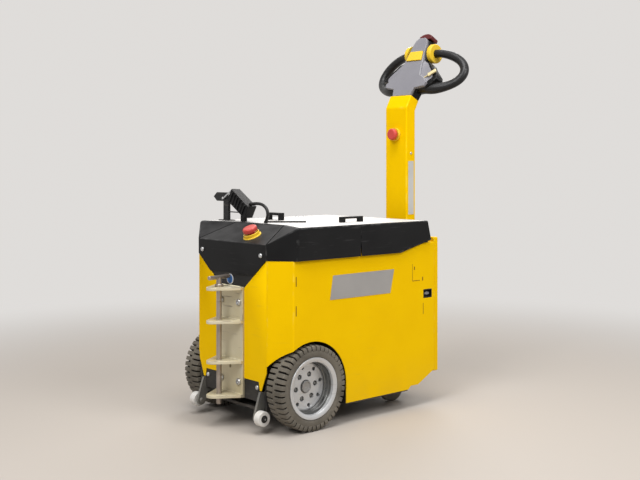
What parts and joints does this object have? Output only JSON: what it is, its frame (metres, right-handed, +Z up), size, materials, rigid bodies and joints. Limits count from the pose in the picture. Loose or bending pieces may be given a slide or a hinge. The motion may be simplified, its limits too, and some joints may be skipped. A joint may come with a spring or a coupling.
{
  "type": "walk behind electric tug",
  "caption": "Walk-behind electric tug with a yellow steel body, black covers, pin hitch in front, driven wheels and a mast with a tiller head.",
  "frame": {"origin": "centre of the bounding box at the floor", "axes": "+Z up, -Y towards the hitch, +Y towards the operator, +X to the side with the latch"},
  "size_m": [0.502, 0.982, 1.2366],
  "materials": {
    "yellow_paint": "semi-gloss powder coat",
    "black_paint": "satin powder coat",
    "black_plastic": "fine grain",
    "deck_laminate": "fine grain",
    "zinc_steel": "zinc plated",
    "arm_steel": "satin",
    "hitch_steel": "zinc with a warm passivation",
    "tyre_rubber": "matte",
    "rim_silver": "silver paint",
    "hub_steel": "satin",
    "cast_alloy": "as cast",
    "roller_nylon": "satin",
    "battery_case": "satin",
    "red_plastic": "gloss",
    "yellow_plastic": "satin",
    "cream_plastic": "satin",
    "grey_plastic": "fine grain",
    "plate_metal": "brushed",
    "strip_pale": "matte",
    "blue_enamel": "gloss",
    "cable_rubber": "matte",
    "grip_rubber": "matte"
  },
  "bodies": {
    "frame": {"chassis": "black_paint", "front_plate": "black_paint", "body_shell": "yellow_paint", "rear_panel": "yellow_paint", "front_cover": "black_plastic", "front_deck": "deck_laminate", "screws": "zinc_steel", "name_plate": "plate_metal", "blue_disc": "blue_enamel", "side_latch": "black_plastic", "hitch_bracket": "hitch_steel", "hitch_bolts": "zinc_steel", "gearbox_left": "cast_alloy", "gearbox_right": "cast_alloy", "motor_left": "black_paint", "motor_right": "black_paint", "roller_arms": "arm_steel", "castor_mounts": "zinc_steel", "batteries": "battery_case", "charger": "cast_alloy", "motor_controller": "cast_alloy", "hinge_fixed": "zinc_steel", "connector_bracket": "black_paint", "connector_block": "black_plastic", "connector_lead": "cable_rubber", "cable_channel": "black_plastic", "deck_rod": "black_plastic", "front_stop_base": "yellow_plastic", "mast": "yellow_paint", "mast_bracket": "yellow_paint", "mast_strip": "strip_pale", "mast_stop_base": "black_plastic", "tiller_shell": "black_plastic", "tiller_face": "grey_plastic", "handle_ring": "grip_rubber"},
    "tow_pin": {"tow_pin": "hitch_steel"},
    "wheel_left": {"tyre_left": "tyre_rubber", "rim_left": "rim_silver", "hub_left": "hub_steel"},
    "wheel_right": {"tyre_right": "tyre_rubber", "rim_right": "rim_silver", "hub_right": "hub_steel"},
    "roller_left": {"roller_left": "roller_nylon"},
    "roller_right": {"roller_right": "roller_nylon"},
    "castor_left": {"castor_fork_left": "zinc_steel"},
    "castor_right": {"castor_fork_right": "zinc_steel"},
    "castor_wheel_left": {"castor_wheel_left": "tyre_rubber"},
    "castor_wheel_right": {"castor_wheel_right": "tyre_rubber"},
    "lid": {"rear_cover": "black_plastic", "rear_deck": "deck_laminate", "deck_handle": "black_plastic", "deck_screws": "zinc_steel", "hinge_moving": "zinc_steel"},
    "front_stop_head": {"front_stop_head": "red_plastic"},
    "mast_stop_head": {"mast_stop_head": "red_plastic"},
    "thumb_wheels": {"thumb_wheels": "yellow_plastic"},
    "face_button": {"face_button": "yellow_plastic"},
    "belly_button": {"belly_button": "red_plastic"},
    "rocker": {"rocker": "cream_plastic"},
    "latch_bar": {"latch_bar": "grey_plastic"}
  },
  "joints": [
    {"name": "drive_wheel_left_turn", "type": "hinge", "parent": "frame", "child": "wheel_left", "pos_m": [-0.208, -0.28631, 0.125], "axis": [1, 0, 0], "continuous": true},
    {"name": "drive_wheel_right_turn", "type": "hinge", "parent": "frame", "child": "wheel_right", "pos_m": [0.208, -0.28631, 0.125], "axis": [1, 0, 0], "continuous": true},
    {"name": "roller_left_turn", "type": "hinge", "parent": "frame", "child": "roller_left", "pos_m": [-0.162, -0.41531, 0.045], "axis": [1, 0, 0], "continuous": true},
    {"name": "roller_right_turn", "type": "hinge", "parent": "frame", "child": "roller_right", "pos_m": [0.162, -0.41531, 0.045], "axis": [1, 0, 0], "continuous": true},
    {"name": "castor_left_swivel", "type": "hinge", "parent": "frame", "child": "castor_left", "pos_m": [-0.122, 0.11769, 0.112], "axis": [0, 0, 1], "continuous": true},
    {"name": "castor_wheel_left_turn", "type": "hinge", "parent": "castor_left", "child": "castor_wheel_left", "pos_m": [-0.122, 0.15169, 0.05], "axis": [1, 0, 0], "continuous": true},
    {"name": "castor_right_swivel", "type": "hinge", "parent": "frame", "child": "castor_right", "pos_m": [0.122, 0.11769, 0.112], "axis": [0, 0, 1], "continuous": true},
    {"name": "castor_wheel_right_turn", "type": "hinge", "parent": "castor_right", "child": "castor_wheel_right", "pos_m": [0.122, 0.15169, 0.05], "axis": [1, 0, 0], "continuous": true},
    {"name": "tow_pin_lift", "type": "slide", "parent": "frame", "child": "tow_pin", "axis": [0, 0, 1], "range_m": [0, 0.36]},
    {"name": "lid_lift", "type": "hinge", "parent": "frame", "child": "lid", "pos_m": [0, 0.22569, 0.536], "axis": [-1, 0, 0], "range_deg": [0, 80]},
    {"name": "front_stop_press", "type": "slide", "parent": "frame", "child": "front_stop_head", "axis": [0, 0.4138, -0.9104], "range_m": [0, 0.004], "stiffness_N_per_m": 600, "springref_m": -0.006},
    {"name": "mast_stop_press", "type": "slide", "parent": "frame", "child": "mast_stop_head", "axis": [0, 1, 0], "range_m": [0, 0.004], "stiffness_N_per_m": 600, "springref_m": -0.006},
    {"name": "thumb_wheels_turn", "type": "hinge", "parent": "frame", "child": "thumb_wheels", "pos_m": [0, 0.43909, 1.15888], "axis": [1, 0, 0], "range_deg": [-40, 40], "stiffness_Nm_per_rad": 0.2},
    {"name": "face_button_press", "type": "slide", "parent": "frame", "child": "face_button", "axis": [0, 0.8829, -0.4695], "range_m": [0, 0.003], "stiffness_N_per_m": 600, "springref_m": -0.005},
    {"name": "belly_button_press", "type": "slide", "parent": "frame", "child": "belly_button", "axis": [0, -0.4695, -0.8829], "range_m": [0, 0.008], "stiffness_N_per_m": 400, "springref_m": -0.01},
    {"name": "rocker_tilt", "type": "hinge", "parent": "frame", "child": "rocker", "pos_m": [0.088, 0.36695, 1.07859], "axis": [0.8572, 0.2418, 0.4548], "range_deg": [-8, 8], "stiffness_Nm_per_rad": 0.05},
    {"name": "latch_turn", "type": "hinge", "parent": "frame", "child": "latch_bar", "pos_m": [0.226, 0.20569, 0.357], "axis": [1, 0, 0], "range_deg": [0, 90]}
  ]
}
